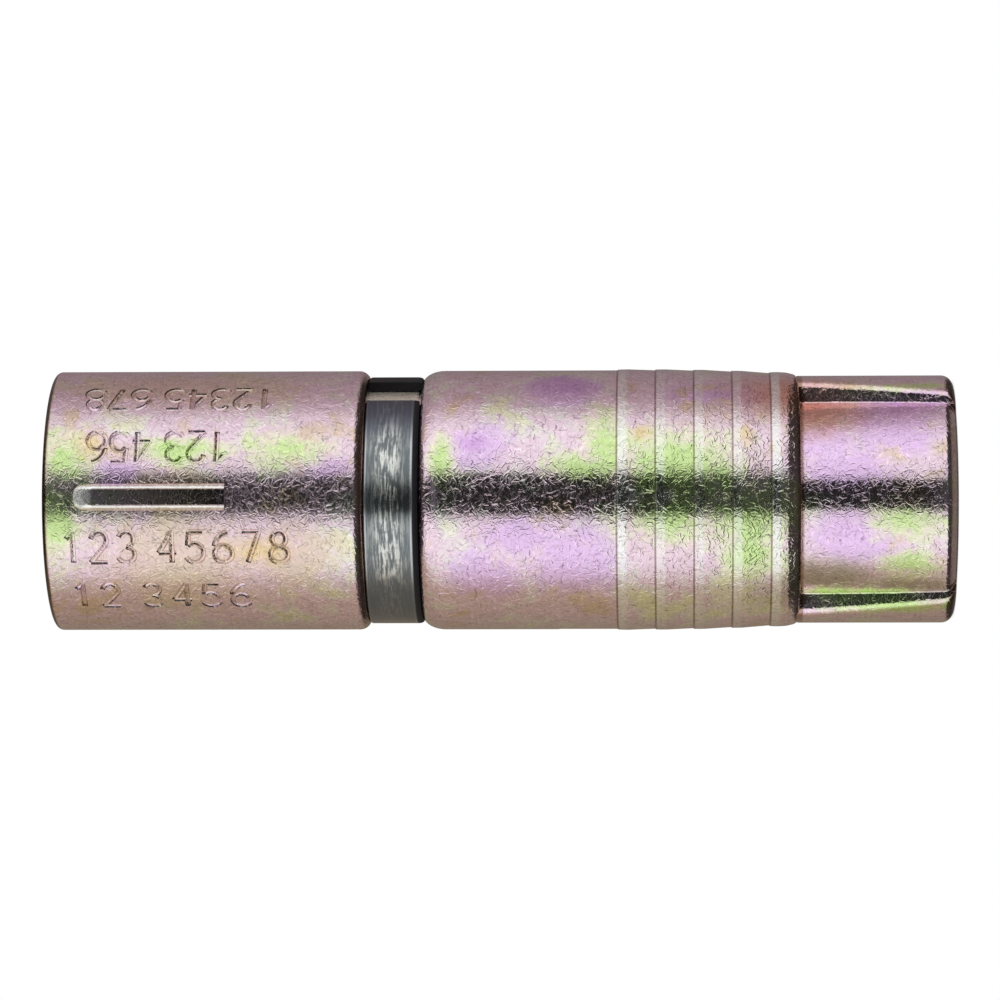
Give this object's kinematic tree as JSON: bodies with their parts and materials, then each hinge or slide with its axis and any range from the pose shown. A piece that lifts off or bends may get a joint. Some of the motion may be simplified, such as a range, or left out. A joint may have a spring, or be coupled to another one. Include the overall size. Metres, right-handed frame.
{
  "type": "expansion anchor",
  "caption": "Heavy-duty sleeve-type expansion anchor shield: spacer sleeve, plastic compression ring, ridged expansion sleeve and threaded cone nut.",
  "frame": {"origin": "centre of the cone nut's flat end, on the anchor's axis", "axes": "+Z along the anchor's axis towards the mouth that the bolt enters; -Y through the pressed rib that the picture shows; +X so that the frame is right-handed, over one of the cone nut's guide ribs"},
  "size_m": [0.0158, 0.0162, 0.0543],
  "materials": {
    "zinc_yellow_sleeve": "tumbled steel, zinc plated with an iridescent yellow passivation, pink, lilac and green in patches",
    "zinc_yellow_nut": "cold-formed steel, zinc plated with an iridescent yellow passivation, lilac with green patches",
    "black_plastic": "black plastic, scuffed along its circumference"
  },
  "bodies": {
    "root": {"cone_nut": "zinc_yellow_nut", "expansion_sleeve": "zinc_yellow_sleeve", "compression_ring": "black_plastic", "spacer_sleeve": "zinc_yellow_sleeve"}
  },
  "joints": []
}
